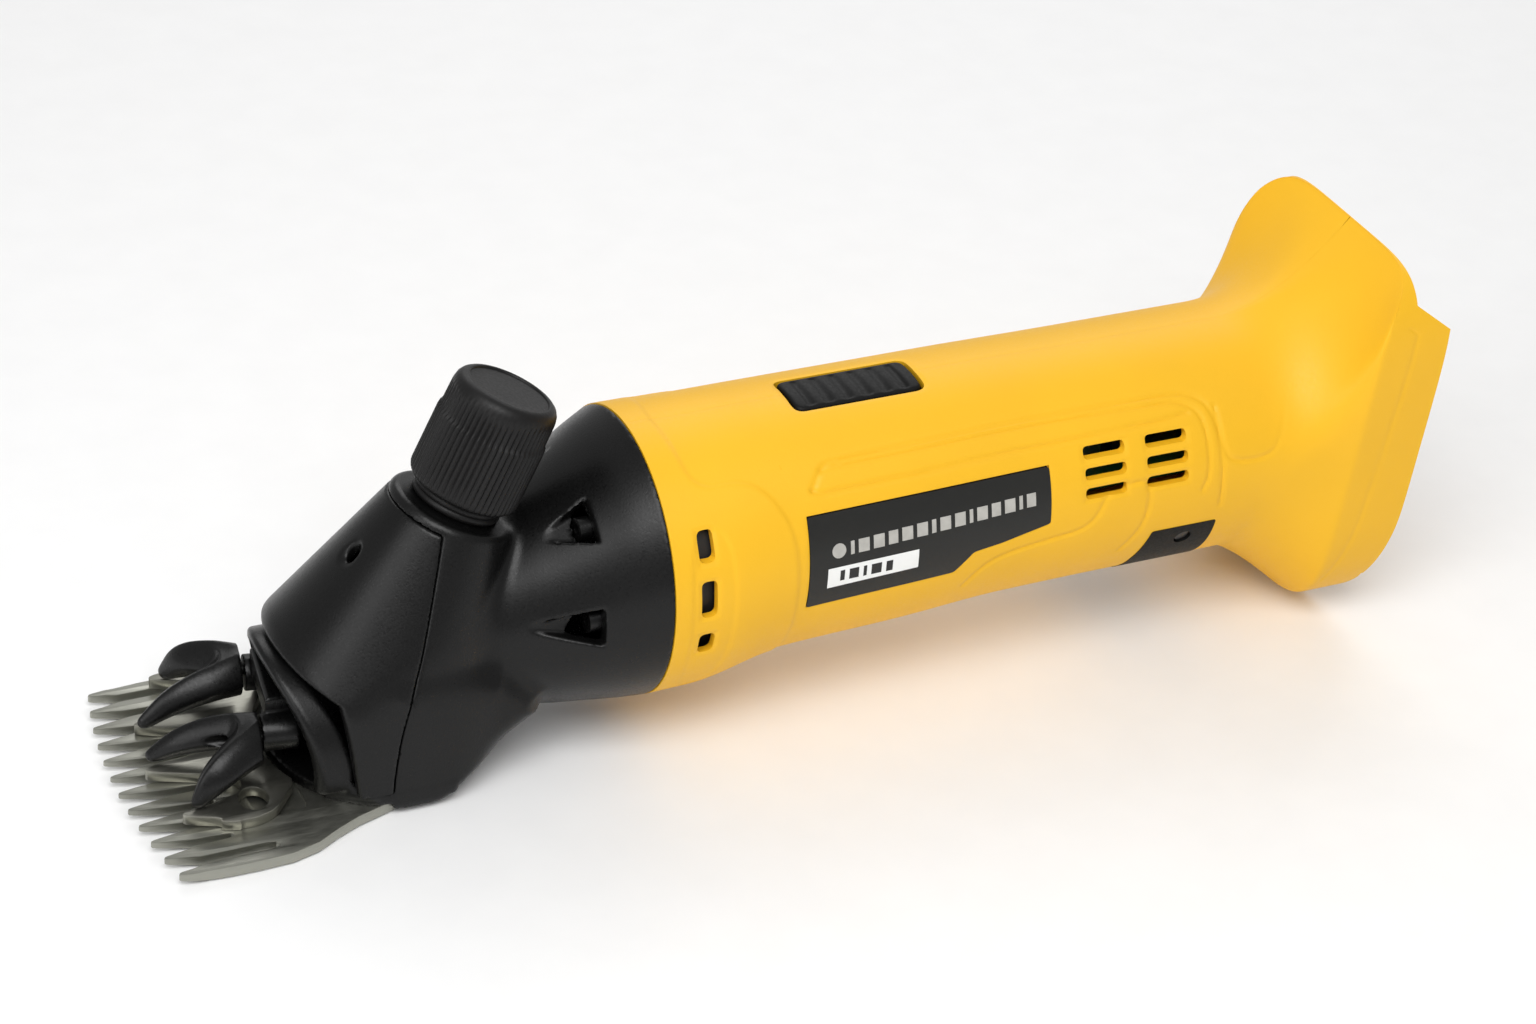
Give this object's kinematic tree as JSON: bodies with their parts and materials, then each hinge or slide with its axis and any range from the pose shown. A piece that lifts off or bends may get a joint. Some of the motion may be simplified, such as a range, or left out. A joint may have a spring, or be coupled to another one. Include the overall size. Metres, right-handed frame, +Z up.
{
  "type": "cordless sheep shears",
  "caption": "Cordless sheep shears: a motor barrel with a slide-in battery foot drives a swinging cutter over a toothed comb, with a turning tension knob.",
  "frame": {"origin": "bottom centre of the bounding box, on the plane that the comb's underside and the foot's bottom rest on", "axes": "+X towards the battery foot along the motor axis, +Y to the tool's right, +Z up towards the switch"},
  "size_m": [0.3438, 0.0795, 0.1056],
  "materials": {
    "yellow_plastic": "satin moulded",
    "black_plastic": "fine texture",
    "black_casting": "satin powder coat",
    "black_steel": "blacked",
    "ground_steel": "ground",
    "bright_steel": "turned",
    "rubber": "matt",
    "copper": "bare copper",
    "magnet": "sintered",
    "board": "circuit board"
  },
  "bodies": {
    "housing": {"body_shell_left": "yellow_plastic", "body_shell_right": "yellow_plastic", "shell_screws": "black_steel", "nameplate": "black_plastic", "underside_pad": "black_plastic", "pad_screws": "black_steel", "switch_pin": "bright_steel", "switch_body": "black_plastic", "motor_can": "bright_steel", "motor_magnets": "magnet", "motor_end_cap": "black_plastic", "brush_holders": "copper", "carbon_brushes": "magnet", "fan_shroud": "black_plastic", "motor_bearing_outers": "bright_steel", "motor_bearing_balls": "bright_steel", "crank_bearing_outers": "bright_steel", "crank_bearing_balls": "bright_steel", "gear_plate": "black_casting", "head_casting": "black_casting", "head_cover": "black_casting", "head_screws": "black_steel", "centre_post": "bright_steel", "tension_sleeve": "bright_steel", "neck_rings": "rubber", "comb": "ground_steel", "comb_screws": "black_steel", "terminal_block": "black_plastic", "contact_blades": "copper", "control_board": "board", "board_components": "board"},
    "rotor": {"motor_shaft": "bright_steel", "armature_core": "bright_steel", "armature_windings": "copper", "commutator": "copper", "cooling_fan": "black_plastic", "motor_pinion": "bright_steel", "motor_bearing_inners": "bright_steel"},
    "crank": {"crankshaft": "bright_steel", "drive_gear": "bright_steel", "crank_roller": "bright_steel", "crank_bearing_inners": "bright_steel"},
    "fork": {"fork": "black_steel", "claw_pins": "bright_steel", "cutter": "ground_steel"},
    "claw_left": {"claw_left": "black_steel"},
    "claw_right": {"claw_right": "black_steel"},
    "tension_pin": {"tension_pin": "bright_steel"},
    "knob": {"tension_knob": "black_plastic"},
    "switch": {"switch_rocker": "black_plastic"}
  },
  "joints": [
    {"name": "rotor_spin", "type": "hinge", "parent": "housing", "child": "rotor", "pos_m": [0.0074, 0, 0.0455], "axis": [1, 0, 0], "continuous": true},
    {"name": "crank_spin", "type": "hinge", "parent": "housing", "child": "crank", "pos_m": [-0.0626, 0, 0.032], "axis": [1, 0, 0], "continuous": true},
    {"name": "fork_rock", "type": "hinge", "parent": "housing", "child": "fork", "pos_m": [-0.1022, 0, 0.0149], "axis": [0, 0, 1], "range_deg": [0, 17.6]},
    {"name": "claw_right_rock", "type": "hinge", "parent": "fork", "child": "claw_right", "pos_m": [-0.13694, 0.02005, 0.0155], "axis": [0.9882, -0.153, 0], "range_deg": [-0.6, 0.6]},
    {"name": "claw_left_rock", "type": "hinge", "parent": "fork", "child": "claw_left", "pos_m": [-0.14138, -0.00861, 0.0155], "axis": [0.9882, -0.153, 0], "range_deg": [-0.6, 0.6]},
    {"name": "tension_feed", "type": "slide", "parent": "housing", "child": "tension_pin", "axis": [0.4115, 0, 0.9114], "range_m": [0, 0.0025]},
    {"name": "knob_turn", "type": "hinge", "parent": "tension_pin", "child": "knob", "pos_m": [-0.0863, 0, 0.0665], "axis": [0.4115, 0, 0.9114], "range_deg": [0, 720]},
    {"name": "switch_rock", "type": "hinge", "parent": "housing", "child": "switch", "pos_m": [0.0182, 0, 0.0745], "axis": [0, -1, 0], "range_deg": [0, 4]}
  ],
  "couplings": [
    {"joint": "crank_spin", "follows": "rotor_spin", "ratio": -0.5},
    {"joint": "knob_turn", "follows": "tension_feed", "rad_per_m": 5026.5}
  ]
}
